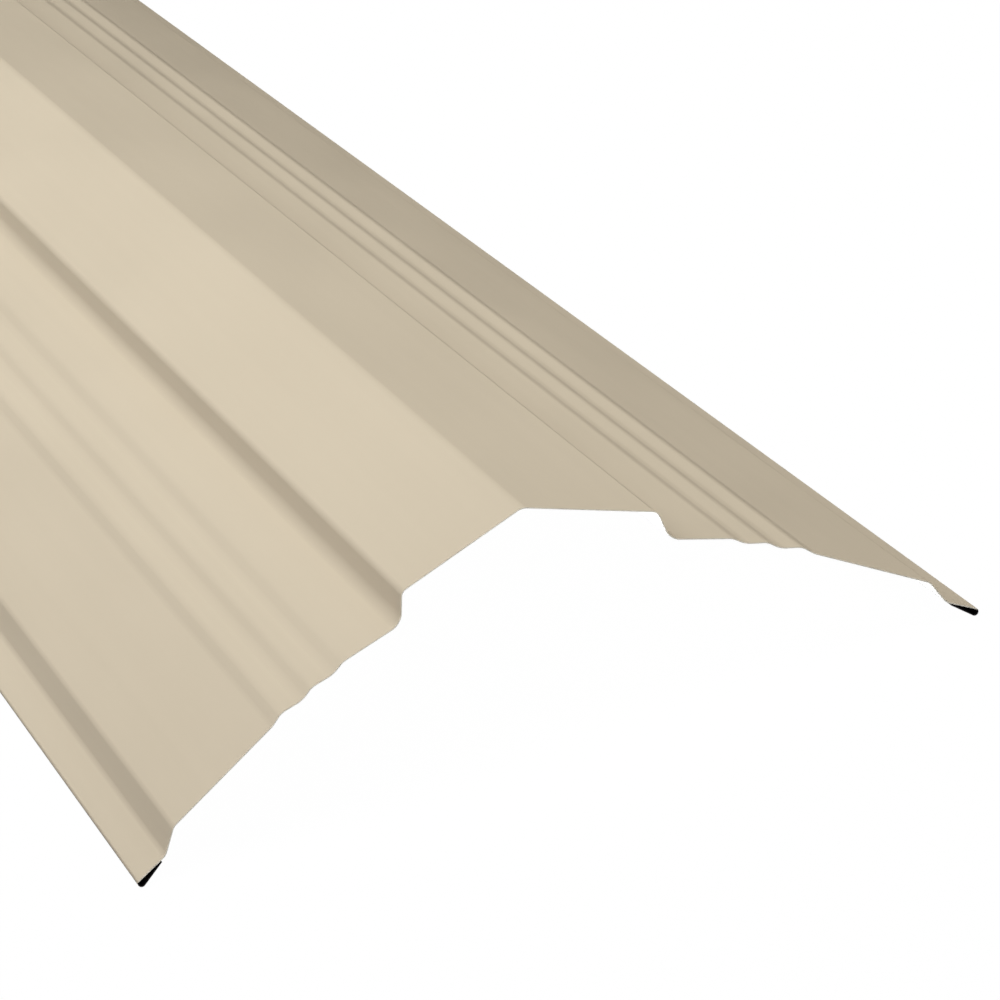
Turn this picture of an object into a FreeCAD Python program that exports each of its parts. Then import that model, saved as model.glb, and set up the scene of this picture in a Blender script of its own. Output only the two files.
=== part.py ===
import FreeCAD
import Part
import math
import os

# Ridge cap rolled from one sheet of painted steel and cut off square at both ends.
# Millimetres and degrees. Runs follow the middle of the sheet from bend to bend, slopes are
# below the level, bends are radii on the middle of the sheet. One leg, from the ridge outwards.

length = 3200.4  # ten and a half feet, a length this cap is sold in
sheet = 0.43

ridge_run = 56.2  # ridge line to the first step
ridge_slope = 19.1
ridge_bend = 6.0

upper_step_run = 12.9  # about half an inch, almost upright
upper_step_slope = 77.3
upper_step_top_bend = 3.5
upper_step_foot_bend = 7.0

land_run = 26.4
land_slope = 16.9

bead_count = 3  # soft ripples going down the leg, each steeper than the one before
bead_rise_run = 6.2
bead_rise_slope = 37.0
bead_steepening = 3.0
bead_flat_run = 9.35
bead_flat_slope = 14.9
bead_top_bend = 7.0
bead_foot_bend = 11.0

apron_run = 53.25
apron_slope = 30.7

lower_step_run = 11.8
lower_step_slope = 62.0
lower_step_top_bend = 5.0
lower_step_foot_bend = 5.0

flange_run = 15.5  # to the outer face of the folded edge
flange_slope = 29.0

hem_bend = 1.4  # the edge is folded under and left open like a drop
hem_return_run = 11.0
hem_gap = 0.3  # left between the sheet and its free edge

# Runs of the leg with the bend that ends each one
leg = [
    (ridge_run, ridge_slope, upper_step_top_bend),
    (upper_step_run, upper_step_slope, upper_step_foot_bend),
    (land_run, land_slope, bead_top_bend),
]
for bead in range(bead_count):
    leg.append((bead_rise_run, bead_rise_slope + bead * bead_steepening, bead_foot_bend))
    if bead < bead_count - 1:
        leg.append((bead_flat_run, bead_flat_slope, bead_top_bend))
leg.append((apron_run, apron_slope, lower_step_top_bend))
leg.append((lower_step_run, lower_step_slope, lower_step_foot_bend))

# The fold turns a little past straight back so that the free edge closes on the flange.
hem_open = 2 * hem_bend - sheet
hem_closing = math.degrees(math.asin((hem_open - hem_gap) / hem_return_run))
hem_turn = (180 + hem_closing) / 2
hem_fold_run = 2 * hem_bend * math.tan(math.radians(hem_turn / 2))
leg.append((flange_run - sheet / 2, flange_slope, hem_bend))
leg.append((hem_fold_run, flange_slope + hem_turn, hem_bend))
leg.append((hem_return_run + hem_fold_run / 2, flange_slope + 2 * hem_turn, 0))

# Bend corners of the right leg, then the whole section from the left free edge to the right one
right = []
x = 0.0
z = 0.0
for run, slope, bend in leg:
    x = x + run * math.cos(math.radians(slope))
    z = z - run * math.sin(math.radians(slope))
    right.append((x, z, bend))
left = [(-x, z, bend) for x, z, bend in reversed(right)]
corners = left + [(0.0, 0.0, ridge_bend)] + right


def point(place):
    return FreeCAD.Vector(place[0], -length / 2, place[1])


def along(start, end):
    reach = math.hypot(end[0] - start[0], end[1] - start[1])
    return ((end[0] - start[0]) / reach, (end[1] - start[1]) / reach)


def moved(place, way, reach):
    return (place[0] + way[0] * reach, place[1] + way[1] * reach)


def surface(offset):
    # One face of the sheet, offset to the upper side of its middle, with a true arc at each bend
    edges = []
    first = along(corners[0], corners[1])
    pen = moved(corners[0], (-first[1], first[0]), offset)
    for before, corner, after in zip(corners, corners[1:], corners[2:]):
        way_in = along(before, corner)
        way_out = along(corner, after)
        turn = math.asin(way_in[0] * way_out[1] - way_in[1] * way_out[0])
        if way_in[0] * way_out[0] + way_in[1] * way_out[1] < 0:
            turn = math.copysign(math.pi, turn) - turn
        side = math.copysign(1.0, turn)
        bend = corner[2]
        reach = bend * math.tan(abs(turn) / 2)
        normal_in = (-way_in[1], way_in[0])
        normal_out = (-way_out[1], way_out[0])
        begin = moved(corner, way_in, -reach)
        finish = moved(corner, way_out, reach)
        centre = moved(begin, normal_in, bend * side)
        crown = moved(centre, along(centre, corner), bend - offset * side)
        begin = moved(begin, normal_in, offset)
        finish = moved(finish, normal_out, offset)
        if math.dist(pen, begin) > 1e-6:
            edges.append(Part.LineSegment(point(pen), point(begin)).toShape())
        edges.append(Part.Arc(point(begin), point(crown), point(finish)).toShape())
        pen = finish
    last = along(corners[-2], corners[-1])
    end = moved(corners[-1], (-last[1], last[0]), offset)
    edges.append(Part.LineSegment(point(pen), point(end)).toShape())
    return edges


upper = surface(sheet / 2)
under = surface(-sheet / 2)
left_edge = Part.LineSegment(upper[0].firstVertex().Point, under[0].firstVertex().Point).toShape()
right_edge = Part.LineSegment(upper[-1].lastVertex().Point, under[-1].lastVertex().Point).toShape()
outline = Part.Wire(upper + [right_edge] + under[::-1] + [left_edge])
cap = Part.Face(outline).extrude(FreeCAD.Vector(0, length, 0))

# It stands on the two folded edges, with the floor at their lowest line.
fold = right[-3]
fold_way = math.radians(flange_slope)
fold_reach = hem_bend * math.tan(math.radians(hem_turn / 2))
fold_start = moved((fold[0], fold[1]), (math.cos(fold_way), -math.sin(fold_way)), -fold_reach)
fold_centre = moved(fold_start, (-math.sin(fold_way), -math.cos(fold_way)), hem_bend)
cap.translate(FreeCAD.Vector(0, 0, hem_bend + sheet / 2 - fold_centre[1]))

os.makedirs("parts", exist_ok=True)
cap.exportStep("parts/ridge_cap.step")

box = cap.optimalBoundingBox(False, False)
print("ridge cap", round(box.XLength, 2), "wide", round(box.YLength, 2), "long", round(box.ZLength, 2), "high")
print("floor", round(box.ZMin, 4), "volume", round(cap.Volume), "solids", len(cap.Solids), "valid", cap.isValid())
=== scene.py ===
import math

import bmesh
import bpy
from mathutils import Matrix, Vector


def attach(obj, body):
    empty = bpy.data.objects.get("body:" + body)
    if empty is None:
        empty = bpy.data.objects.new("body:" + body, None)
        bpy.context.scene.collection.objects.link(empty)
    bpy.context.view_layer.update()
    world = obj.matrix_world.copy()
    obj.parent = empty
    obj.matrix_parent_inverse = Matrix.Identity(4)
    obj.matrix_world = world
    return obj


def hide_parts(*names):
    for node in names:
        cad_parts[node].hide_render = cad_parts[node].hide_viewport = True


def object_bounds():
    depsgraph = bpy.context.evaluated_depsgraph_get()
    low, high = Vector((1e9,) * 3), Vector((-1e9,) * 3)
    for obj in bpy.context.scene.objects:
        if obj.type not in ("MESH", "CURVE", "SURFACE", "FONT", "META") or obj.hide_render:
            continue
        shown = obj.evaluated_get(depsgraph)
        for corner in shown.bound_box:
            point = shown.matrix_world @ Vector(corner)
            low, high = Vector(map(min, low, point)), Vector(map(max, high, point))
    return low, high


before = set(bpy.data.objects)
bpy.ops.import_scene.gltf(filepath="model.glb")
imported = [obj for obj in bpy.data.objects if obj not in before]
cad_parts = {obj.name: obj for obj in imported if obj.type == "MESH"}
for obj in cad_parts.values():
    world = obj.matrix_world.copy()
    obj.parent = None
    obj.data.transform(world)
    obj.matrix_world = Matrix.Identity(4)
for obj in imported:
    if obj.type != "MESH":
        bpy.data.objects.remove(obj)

cadLow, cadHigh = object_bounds()
capLength = cadHigh.y - cadLow.y
print("frame loaded, cap is", round(capLength, 4), "m long")

# Mesh helpers
nearby = 1e-5  # corners this close are the same corner
weldDistance = 1e-6


def pick(piece, kind, test):
    bpy.ops.mesh.select_mode(type=kind)
    bpy.ops.mesh.select_all(action="DESELECT")
    mesh = bmesh.from_edit_mesh(piece.data)
    for element in mesh.edges if kind == "EDGE" else mesh.faces:
        if test(element):
            element.select_set(True)
    mesh.select_flush_mode()
    bmesh.update_edit_mesh(piece.data)


def extrudeEdge(way):
    bpy.ops.mesh.extrude_edges_move(TRANSFORM_OT_translate={"value": way})


def applyModifier(piece, kind, **settings):
    modifier = piece.modifiers.new(kind.title(), kind)
    for name, value in settings.items():
        setattr(modifier, name, value)
    bpy.ops.object.modifier_apply(modifier=modifier.name)


# Node helpers
noiseSpan = (0.3, 0.7)  # most of a noise lies between these
bumpStrength = 0.3


def newMaterial(name):
    material = bpy.data.materials.new(name)
    material.use_nodes = True
    return material, material.node_tree, material.node_tree.nodes["Principled BSDF"]


def addNoise(tree, stretch, scale, detail):
    place = tree.nodes.new("ShaderNodeTexCoord")
    mapping = tree.nodes.new("ShaderNodeMapping")
    mapping.inputs["Scale"].default_value = stretch
    noise = tree.nodes.new("ShaderNodeTexNoise")
    noise.inputs["Scale"].default_value = scale
    noise.inputs["Detail"].default_value = detail
    tree.links.new(place.outputs["Object"], mapping.inputs["Vector"])
    tree.links.new(mapping.outputs["Vector"], noise.inputs["Vector"])
    return noise.outputs["Fac"]


def addRamp(tree, source, dark, light):
    ramp = tree.nodes.new("ShaderNodeValToRGB")
    for stop, position, tone in zip(ramp.color_ramp.elements, noiseSpan, (dark, light)):
        stop.position = position
        stop.color = (*tone, 1)
    tree.links.new(source, ramp.inputs["Fac"])
    return ramp.outputs["Color"]


def addRange(tree, source, low, high):
    span = tree.nodes.new("ShaderNodeMapRange")
    span.inputs["From Min"].default_value, span.inputs["From Max"].default_value = noiseSpan
    span.inputs["To Min"].default_value = low
    span.inputs["To Max"].default_value = high
    tree.links.new(source, span.inputs["Value"])
    return span.outputs["Result"]


def addBump(tree, height, depth, under=None):
    bump = tree.nodes.new("ShaderNodeBump")
    bump.inputs["Strength"].default_value = bumpStrength
    bump.inputs["Distance"].default_value = depth
    tree.links.new(height, bump.inputs["Height"])
    if under:
        tree.links.new(under, bump.inputs["Normal"])
    return bump.outputs["Normal"]


# Baked beige paint on the weather side
topCoat = {
    "dark": (0.602, 0.525, 0.399),
    "light": (0.612, 0.534, 0.406),
    "roughLow": 0.40,
    "roughHigh": 0.50,
    "streaks": {"stretch": (1, 0.012, 1), "scale": 160, "detail": 3},  # long and faint, from the rollers
    "clouds": {"stretch": (1, 0.35, 1), "scale": 26, "detail": 4},  # of duller and shinier paint
    "waves": {"stretch": (1, 0.5, 1), "scale": 5, "detail": 1},  # slow waves of a rolled sheet
    "waveDepth": 0.0001,
    "grain": {"stretch": (1, 1, 1), "scale": 1300, "detail": 2},  # paint grain under a millimetre
    "grainDepth": 0.00002,
}


def makeTopCoat():
    material, tree, shader = newMaterial("beigePaint")
    streaks = addNoise(tree, **topCoat["streaks"])
    tone = addRamp(tree, streaks, topCoat["dark"], topCoat["light"])
    clouds = addNoise(tree, **topCoat["clouds"])
    rough = addRange(tree, clouds, topCoat["roughLow"], topCoat["roughHigh"])
    waves = addBump(tree, addNoise(tree, **topCoat["waves"]), topCoat["waveDepth"])
    grain = addBump(tree, addNoise(tree, **topCoat["grain"]), topCoat["grainDepth"], waves)
    tree.links.new(tone, shader.inputs["Base Color"])
    tree.links.new(rough, shader.inputs["Roughness"])
    tree.links.new(grain, shader.inputs["Normal"])
    return material


# Thin off-white wash coat on the roof side
backCoat = {
    "dark": (0.82, 0.82, 0.80),
    "light": (0.88, 0.88, 0.86),
    "roughLow": 0.45,
    "roughHigh": 0.62,
    "streaks": {"stretch": (1, 0.02, 1), "scale": 210, "detail": 4},
    "clouds": {"stretch": (1, 0.3, 1), "scale": 40, "detail": 3},
    "grain": {"stretch": (1, 1, 1), "scale": 700, "detail": 2},
    "grainDepth": 0.00001,
}


def makeBackCoat():
    material, tree, shader = newMaterial("offWhiteBackCoat")
    streaks = addNoise(tree, **backCoat["streaks"])
    tone = addRamp(tree, streaks, backCoat["dark"], backCoat["light"])
    clouds = addNoise(tree, **backCoat["clouds"])
    rough = addRange(tree, clouds, backCoat["roughLow"], backCoat["roughHigh"])
    grain = addBump(tree, addNoise(tree, **backCoat["grain"]), backCoat["grainDepth"])
    tree.links.new(tone, shader.inputs["Base Color"])
    tree.links.new(rough, shader.inputs["Roughness"])
    tree.links.new(grain, shader.inputs["Normal"])
    return material


# Sheared steel where the stock is cut off
cutEdge = {
    "dark": (0.31, 0.325, 0.26),
    "light": (0.38, 0.395, 0.31),
    "metal": 0.3,
    "roughLow": 0.35,
    "roughHigh": 0.55,
    "marks": {"stretch": (1, 1, 1), "scale": 900, "detail": 3},
}


def makeCutEdge():
    material, tree, shader = newMaterial("shearedSteel")
    marks = addNoise(tree, **cutEdge["marks"])
    tone = addRamp(tree, marks, cutEdge["dark"], cutEdge["light"])
    rough = addRange(tree, marks, cutEdge["roughLow"], cutEdge["roughHigh"])
    tree.links.new(tone, shader.inputs["Base Color"])
    tree.links.new(rough, shader.inputs["Roughness"])
    shader.inputs["Metallic"].default_value = cutEdge["metal"]
    return material


# Painted shade: near-black paint inside the folded edges, standing in for the shadow in the narrow hem gap
paintedHemShade = {
    "dark": (0.004, 0.004, 0.004),
    "light": (0.009, 0.008, 0.008),
    "rough": 0.9,
    "gloss": 0.1,
    "specks": {"stretch": (1, 0.2, 1), "scale": 500, "detail": 3},
}


def makePaintedHemShade():
    material, tree, shader = newMaterial("paintedShadeInHem")
    specks = addNoise(tree, **paintedHemShade["specks"])
    tone = addRamp(tree, specks, paintedHemShade["dark"], paintedHemShade["light"])
    tree.links.new(tone, shader.inputs["Base Color"])
    shader.inputs["Roughness"].default_value = paintedHemShade["rough"]
    shader.inputs["Specular IOR Level"].default_value = paintedHemShade["gloss"]
    return material


# Finishes of the sheet, with the painted hem shade last, in the order of its material slots
finishesAndHemShade = (makeTopCoat, makeBackCoat, makeCutEdge, makePaintedHemShade)
backSlot = finishesAndHemShade.index(makeBackCoat)
cutSlot = finishesAndHemShade.index(makeCutEdge)
hemShadeSlot = finishesAndHemShade.index(makePaintedHemShade)

# One leg of the rolled section, from the ridge outwards
# Metres, degrees below the level, bends as radii on the middle of the sheet
capSection = {
    "sheet": 0.00043,
    "ridgeRun": 0.0562,
    "ridgeSlope": 19.1,
    "ridgeBend": 0.006,
    "upperStepRun": 0.0129,
    "upperStepSlope": 77.3,
    "upperStepTopBend": 0.0035,
    "upperStepFootBend": 0.007,
    "landRun": 0.0264,
    "landSlope": 16.9,
    "beadCount": 3,
    "beadRiseRun": 0.0062,
    "beadRiseSlope": 37.0,
    "beadSteepening": 3.0,  # each bead steeper than the one before
    "beadFlatRun": 0.00935,
    "beadFlatSlope": 14.9,
    "beadTopBend": 0.007,
    "beadFootBend": 0.011,
    "apronRun": 0.05325,
    "apronSlope": 30.7,
    "lowerStepRun": 0.0118,
    "lowerStepSlope": 62.0,
    "lowerStepTopBend": 0.005,
    "lowerStepFootBend": 0.005,
    "flangeRun": 0.0155,
    "flangeSlope": 29.0,
    "hemBend": 0.0014,
    "hemReturnRun": 0.011,
    "hemGap": 0.0003,
    "bendSegments": 10,
    "bendProfile": 0.5,  # a round bevel
    "hemSegments": 18,
    "lengthCuts": 31,
    "smoothAngle": 35,
    "normalWeight": 100,  # flats stay flat beside their bends
}


def downSlope(run, slope):
    angle = math.radians(slope)
    return Vector((run * math.cos(angle), 0, -run * math.sin(angle)))


def ridgeCorner():  # where the two ridge faces would meet without their bend
    rounding = 1 / math.cos(math.radians(capSection["ridgeSlope"])) - 1
    return Vector((0, 0, cadHigh.z - capSection["sheet"] / 2 + capSection["ridgeBend"] * rounding))


def legRuns():
    cut = capSection
    runs = [  # bend at the start of each run, its length and its slope
        (cut["upperStepTopBend"], cut["upperStepRun"], cut["upperStepSlope"]),
        (cut["upperStepFootBend"], cut["landRun"], cut["landSlope"]),
    ]
    for bead in range(cut["beadCount"]):
        rise = cut["beadRiseSlope"] + bead * cut["beadSteepening"]
        runs.append((cut["beadTopBend"], cut["beadRiseRun"], rise))
        if bead < cut["beadCount"] - 1:
            runs.append((cut["beadFootBend"], cut["beadFlatRun"], cut["beadFlatSlope"]))
    runs.append((cut["beadFootBend"], cut["apronRun"], cut["apronSlope"]))
    runs.append((cut["lowerStepTopBend"], cut["lowerStepRun"], cut["lowerStepSlope"]))
    return runs


def bendCorner(piece, corner, bend, turn):
    def atCorner(edge):
        return all(math.hypot(v.co.x - corner.x, v.co.z - corner.z) < nearby for v in edge.verts)

    pick(piece, "EDGE", atCorner)
    bpy.ops.mesh.bevel(
        offset_type="OFFSET", offset=bend * math.tan(math.radians(abs(turn)) / 2),
        segments=capSection["bendSegments"], profile=capSection["bendProfile"],
        affect="EDGES", clamp_overlap=False
    )


def startRidgeFace(ridge):  # of the right leg
    face = downSlope(capSection["ridgeRun"], capSection["ridgeSlope"])
    bpy.ops.object.select_all(action="DESELECT")
    bpy.ops.mesh.primitive_plane_add(
        size=1, location=ridge + face / 2, rotation=(0, math.radians(capSection["ridgeSlope"]), 0)
    )
    piece = bpy.context.object
    piece.name = "formedSheet"
    piece.data.name = "formedSheet"
    piece.scale = (capSection["ridgeRun"], capLength, 1)
    bpy.ops.object.transform_apply(location=True, rotation=True, scale=True)
    return piece


def drawLeg(piece, ridge):  # run by run from the outer edge of the ridge face
    pen = ridge + downSlope(capSection["ridgeRun"], capSection["ridgeSlope"])
    pick(piece, "EDGE", lambda edge: all(v.co.x > pen.x - nearby for v in edge.verts))
    corners = []
    slopeBefore = capSection["ridgeSlope"]
    for bend, run, slope in legRuns():
        corners.append((pen.copy(), bend, slope - slopeBefore))
        extrudeEdge(downSlope(run, slope))
        pen += downSlope(run, slope)
        slopeBefore = slope
    corners.append((pen, capSection["lowerStepFootBend"], capSection["flangeSlope"] - slopeBefore))
    return corners


def foldHem(flangeStart):  # flange, folded edge and its return
    cut = capSection
    hemOpen = 2 * cut["hemBend"] - cut["sheet"]
    closing = math.degrees(math.asin((hemOpen - cut["hemGap"]) / cut["hemReturnRun"]))
    turn = 180 + closing  # a little past straight back
    foldReach = cut["hemBend"] * math.tan(math.radians(turn) / 4)  # two bends of half the turn each
    flange = downSlope(cut["flangeRun"] - cut["sheet"] / 2 - foldReach, cut["flangeSlope"])
    extrudeEdge(flange)
    foldCentre = flangeStart + flange + downSlope(cut["hemBend"], cut["flangeSlope"] + 90)
    bpy.ops.mesh.spin(
        steps=cut["hemSegments"], angle=math.radians(turn), center=foldCentre, axis=(0, -1, 0)
    )
    extrudeEdge(downSlope(cut["hemReturnRun"], cut["flangeSlope"] + turn))


def mirrorLegs(piece, ridge):  # then the ridge bend across both
    bpy.ops.object.mode_set(mode="OBJECT")
    applyModifier(piece, "MIRROR", merge_threshold=nearby)
    bpy.ops.object.mode_set(mode="EDIT")
    bendCorner(piece, ridge, capSection["ridgeBend"], 2 * capSection["ridgeSlope"])
    bpy.ops.mesh.select_all(action="SELECT")
    bpy.ops.mesh.remove_doubles(threshold=weldDistance)
    bpy.ops.mesh.normals_make_consistent(inside=False)
    pick(piece, "EDGE", lambda edge: edge.calc_length() > capLength / 2)
    bpy.ops.mesh.subdivide(number_cuts=capSection["lengthCuts"])
    bpy.ops.object.mode_set(mode="OBJECT")
    if max(piece.data.polygons, key=lambda polygon: polygon.area).normal.z < 0:
        piece.data.flip_normals()


def giveThickness(piece, flangeStart):  # paint above, wash coat below, bare steel at every cut, painted shade inside the folds
    for makeSlotMaterial in finishesAndHemShade:
        piece.data.materials.append(makeSlotMaterial())
    applyModifier(
        piece, "SOLIDIFY", thickness=capSection["sheet"], offset=0, use_even_offset=True,
        use_quality_normals=True, material_offset=backSlot, material_offset_rim=cutSlot
    )
    flangeUp = downSlope(1, capSection["flangeSlope"] - 90)

    def inShadedHem(face):  # its inner side, and the cut from where the fold leaves the flange, which take the painted shade
        middle = face.calc_center_median()
        middle.x = abs(middle.x)
        folded = (flangeStart - middle).dot(flangeUp) > capSection["sheet"] / 2
        dark = face.material_index == backSlot or (face.material_index == cutSlot and folded)
        return dark and middle.x > flangeStart.x

    bpy.ops.object.mode_set(mode="EDIT")
    # Painted shade: the faces inside each fold take the near-black paint in place of the hem's shadow
    pick(piece, "FACE", inShadedHem)
    piece.active_material_index = hemShadeSlot
    bpy.ops.object.material_slot_assign()
    bpy.ops.mesh.select_all(action="DESELECT")
    bpy.ops.object.mode_set(mode="OBJECT")
    bpy.ops.object.shade_smooth_by_angle(angle=math.radians(capSection["smoothAngle"]))
    applyModifier(piece, "WEIGHTED_NORMAL", weight=capSection["normalWeight"], keep_sharp=True)


def makeFormedSheet():
    ridge = ridgeCorner()
    piece = startRidgeFace(ridge)
    bpy.ops.object.mode_set(mode="EDIT")
    corners = drawLeg(piece, ridge)
    flangeStart = corners[-1][0]
    foldHem(flangeStart)
    for corner, bend, turn in corners:
        bendCorner(piece, corner, bend, turn)
    mirrorLegs(piece, ridge)
    print("section drawn,", len(piece.data.polygons), "faces")
    giveThickness(piece, flangeStart)
    print("sheet given its thickness,", len(piece.data.polygons), "faces")
    return piece


formedSheet = makeFormedSheet()
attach(formedSheet, "root")
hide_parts("ridge_cap")

# Pale floor, lit from within so that it stays pale under the cap
paleFloor = {
    "size": 60,
    "drop": 0.0001,  # just clear of the folded edges
    "tone": (0.93, 0.93, 0.92),
    "glow": 0.99,
    "rough": 0.9,
}


def makeFloor():
    bpy.ops.object.select_all(action="DESELECT")
    bpy.ops.mesh.primitive_plane_add(size=paleFloor["size"], location=(0, 0, cadLow.z - paleFloor["drop"]))
    floor = bpy.context.object
    floor.name = "paleFloor"
    bpy.ops.object.transform_apply(location=True, rotation=True, scale=True)
    floor.visible_diffuse = False
    floor.visible_glossy = False
    floor.visible_shadow = False
    material, _, shader = newMaterial("paleFloorPaint")
    tone = [part * (1 - paleFloor["glow"]) for part in paleFloor["tone"]]
    shader.inputs["Base Color"].default_value = (*tone, 1)
    shader.inputs["Roughness"].default_value = paleFloor["rough"]
    shader.inputs["Specular IOR Level"].default_value = 0
    shader.inputs["Emission Color"].default_value = (1, 1, 1, 1)
    shader.inputs["Emission Strength"].default_value = paleFloor["glow"]
    floor.data.materials.append(material)


# Soft light, most of it from the key
skyStrength = 0.02
ridgeSpot = (0, -0.5, cadHigh.z)
nearEnd = cadLow.y
softboxes = {
    "keySoftbox": {
        "place": (-0.11, -1.75, 2.6),
        "aim": (2.218, 2.244, 0),
        "size": (2.2, 6.0),
        "turn": 52.4,
        "power": 192,
    },
    "fillSoftbox": {  # weak and warm, from the right
        "place": (3.2, -0.5, 0.7),
        "aim": ridgeSpot,
        "size": (1.5, 5.0),
        "power": 7.5,
        "tone": (1, 0.80, 0.45),
    },
    "frontSoftbox": {  # low strip before the near end
        "place": (0, -5.5, 0.06),
        "aim": ridgeSpot,
        "size": (3.0, 0.12),
        "power": 185,
        "tone": (1, 0.89, 0.97),
    },
    "underSoftbox": {  # shines up through the floor on the roof side
        "place": (0, 0, -0.4),
        "aim": (0, 0, 0),
        "size": (0.34, 3.4),
        "power": 8,
    },
    "mouthSoftbox": {  # shines up inside the right leg at the near end
        "place": (-0.165, nearEnd + 0.015, -0.1),
        "aim": (0.11, nearEnd + 0.015, 0.065),
        "size": (0.02, 0.06),
        "power": 0.13,
        "spread": 60,
    },
}


def addSoftbox(name, place, aim, size, power, turn=0, tone=(1, 1, 1), spread=180):
    bpy.ops.object.light_add(type="AREA", location=place)
    box = bpy.context.object
    box.name = name
    box.data.shape = "RECTANGLE"
    box.data.size, box.data.size_y = size
    box.data.energy = power
    box.data.color = tone
    box.data.spread = math.radians(spread)
    back = (Vector(place) - Vector(aim)).normalized()
    side = Vector((0, 1, 0)).cross(back).normalized()
    facing = Matrix((side, back.cross(side), back)).transposed()
    box.rotation_euler = (facing @ Matrix.Rotation(math.radians(turn), 3, "Z")).to_euler()


def makeLight():
    world = bpy.data.worlds.new("softSky")
    world.use_nodes = True
    sky = world.node_tree.nodes["Background"]
    sky.inputs["Color"].default_value = (1, 1, 1, 1)
    sky.inputs["Strength"].default_value = skyStrength
    bpy.context.scene.world = world
    for name, settings in softboxes.items():
        addSoftbox(name, **settings)


makeFloor()
makeLight()
bpy.context.scene.view_settings.view_transform = "Standard"
print("floor and light set")

# Camera by the near end, turned, tipped and tilted as in the photograph
camera = {
    "focalPixels": 4498.6,
    "imageSide": 1000,
    "sensor": 36,
    "clip": (0.01, 200),
    "yaw": 15.733,
    "pitch": 21.353,
    "roll": 11.342,
    "ridgeRight": 0.008378,  # near end of the ridge, seen from the camera
    "ridgeDown": 0.002957,
    "ridgeAway": 1.71592,
}


def makeCamera():
    data = bpy.data.cameras.new("photoCamera")
    data.sensor_width = camera["sensor"]
    data.lens = camera["focalPixels"] * camera["sensor"] / camera["imageSide"]
    data.clip_start, data.clip_end = camera["clip"]
    eye = bpy.data.objects.new("photoCamera", data)
    bpy.context.scene.collection.objects.link(eye)
    turn = (
        Matrix.Rotation(-math.radians(camera["yaw"]), 3, "Z")
        @ Matrix.Rotation(math.radians(90 - camera["pitch"]), 3, "X")
        @ Matrix.Rotation(-math.radians(camera["roll"]), 3, "Z")
    )
    seen = Vector((camera["ridgeRight"], -camera["ridgeDown"], -camera["ridgeAway"]))
    place = ridgeCorner() + Vector((0, nearEnd, 0)) - turn @ seen
    eye.matrix_world = Matrix.Translation(place) @ turn.to_4x4()
    bpy.context.scene.camera = eye


makeCamera()
print("camera placed")
